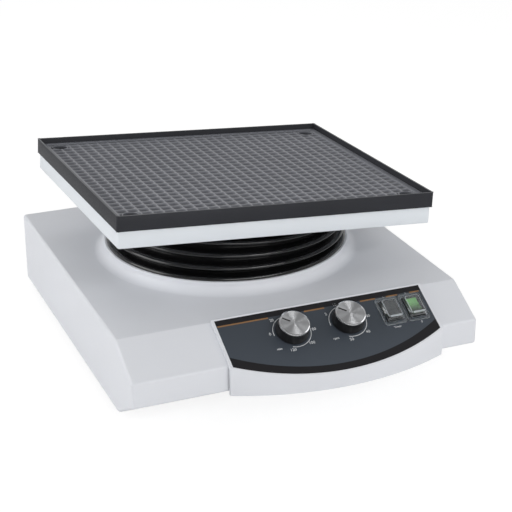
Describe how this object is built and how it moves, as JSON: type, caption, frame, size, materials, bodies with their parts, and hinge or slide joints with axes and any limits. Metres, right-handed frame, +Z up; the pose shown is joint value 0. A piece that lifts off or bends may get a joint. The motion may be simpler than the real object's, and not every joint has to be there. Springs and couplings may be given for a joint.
{
  "type": "tilting platform shaker",
  "caption": "Bench shaker: flat housing with a bowed control console, ribbed bellows and a tilting tray with a waffle mat that a leaning journal keeps in a wave motion.",
  "frame": {"origin": "on the table below the middle of the whole object's width and depth", "axes": "+Z up, +Y from the console to the back, +X to the right of someone facing the console"},
  "size_m": [0.32, 0.3785, 0.1705],
  "materials": {
    "housing_plastic": "moulded, light grey, fine satin texture",
    "console_plastic": "moulded, light grey, satin",
    "tray_paint": "powder coated, pale, satin",
    "panel_print": "printed foil, dark slate, satin",
    "knob_plastic": "moulded, black, satin",
    "knob_aluminium": "spun, bright bevel",
    "switch_plastic": "moulded, black",
    "rocker_green": "translucent green, lit",
    "cap_clear": "clear soft plastic",
    "bellows_rubber": "moulded, black, glossy",
    "rim_plastic": "moulded, near black, fine grain",
    "mat_rubber": "moulded, dark grey, satin",
    "foot_rubber": "moulded, black",
    "belt_rubber": "moulded, black",
    "plate_steel": "zinc plated sheet",
    "turned_steel": "turned and ground",
    "zinc_screw": "zinc plated",
    "cast_aluminium": "machined casting",
    "motor_paint": "dark paint",
    "brass": "turned",
    "inlet_plastic": "moulded, black",
    "board_laminate": "green laminate"
  },
  "bodies": {
    "base": {"housing_shell": "housing_plastic", "base_plate": "plate_steel", "base_screws": "zinc_screw", "rubber_feet": "foot_rubber", "foot_screws": "zinc_screw", "console_bezel": "console_plastic", "panel_foil": "panel_print", "timer_potentiometer": "brass", "speed_potentiometer": "brass", "potentiometer_nuts": "brass", "timer_switch_body": "switch_plastic", "timer_switch_cap": "cap_clear", "power_switch_body": "switch_plastic", "power_switch_cap": "cap_clear", "bearing_block": "cast_aluminium", "block_screws": "zinc_screw", "lower_bearing_outer": "turned_steel", "upper_bearing_outer": "turned_steel", "drive_belt": "belt_rubber", "motor": "motor_paint", "motor_bracket": "plate_steel", "bracket_screws": "zinc_screw", "bellows": "bellows_rubber", "lower_bellows_ring": "plate_steel", "power_inlet": "inlet_plastic", "inlet_pins": "brass", "inlet_screws": "zinc_screw", "power_supply": "motor_paint", "control_board": "board_laminate", "board_standoffs": "zinc_screw"},
    "drive": {"drive_shaft": "turned_steel", "driven_pulley": "cast_aluminium", "lower_bearing_inner": "turned_steel", "upper_bearing_inner": "turned_steel", "tilt_bearing_inner": "turned_steel", "journal_washer": "turned_steel", "journal_screw": "zinc_screw"},
    "motor_rotor": {"motor_shaft": "turned_steel", "motor_pulley": "cast_aluminium"},
    "platform": {"tilt_bearing_outer": "turned_steel", "platform_hub": "cast_aluminium", "hub_screws": "zinc_screw", "platform_tray": "tray_paint", "thread_inserts": "brass", "rim_frame": "rim_plastic", "ribbed_mat": "mat_rubber"},
    "timer_knob": {"timer_knob_shaft": "turned_steel", "timer_knob_skirt": "knob_plastic", "timer_knob_face": "knob_aluminium"},
    "speed_knob": {"speed_knob_shaft": "turned_steel", "speed_knob_skirt": "knob_plastic", "speed_knob_face": "knob_aluminium"},
    "timer_rocker": {"timer_rocker": "switch_plastic"},
    "power_rocker": {"power_rocker": "rocker_green"}
  },
  "joints": [
    {"name": "drive_spin", "type": "hinge", "parent": "base", "child": "drive", "pos_m": [0, 0.03675, 0.01], "axis": [0, 0, 1], "continuous": true, "deforming": ["bellows"]},
    {"name": "platform_swivel", "type": "hinge", "parent": "drive", "child": "platform", "pos_m": [0, 0.03675, 0.103], "axis": [0.0737, 0.0466, 0.9962], "continuous": true},
    {"name": "motor_spin", "type": "hinge", "parent": "base", "child": "motor_rotor", "pos_m": [-0.075, 0.11175, 0.01], "axis": [0, 0, 1], "continuous": true},
    {"name": "timer_turn", "type": "hinge", "parent": "base", "child": "timer_knob", "pos_m": [-0.0105, -0.14526, 0.06524], "axis": [0, -0.464, 0.8858], "range_deg": [-257, 20]},
    {"name": "speed_turn", "type": "hinge", "parent": "base", "child": "speed_knob", "pos_m": [0.042, -0.14526, 0.06524], "axis": [0, -0.464, 0.8858], "range_deg": [-260, 0]},
    {"name": "timer_press", "type": "hinge", "parent": "base", "child": "timer_rocker", "pos_m": [0.0842, -0.14348, 0.06572], "axis": [1, 0, 0], "range_deg": [0, 14]},
    {"name": "power_press", "type": "hinge", "parent": "base", "child": "power_rocker", "pos_m": [0.1066, -0.14348, 0.06572], "axis": [1, 0, 0], "range_deg": [0, 14]}
  ],
  "couplings": [
    {"joint": "platform_swivel", "follows": "drive_spin", "ratio": -1},
    {"joint": "motor_spin", "follows": "drive_spin", "ratio": 3}
  ]
}
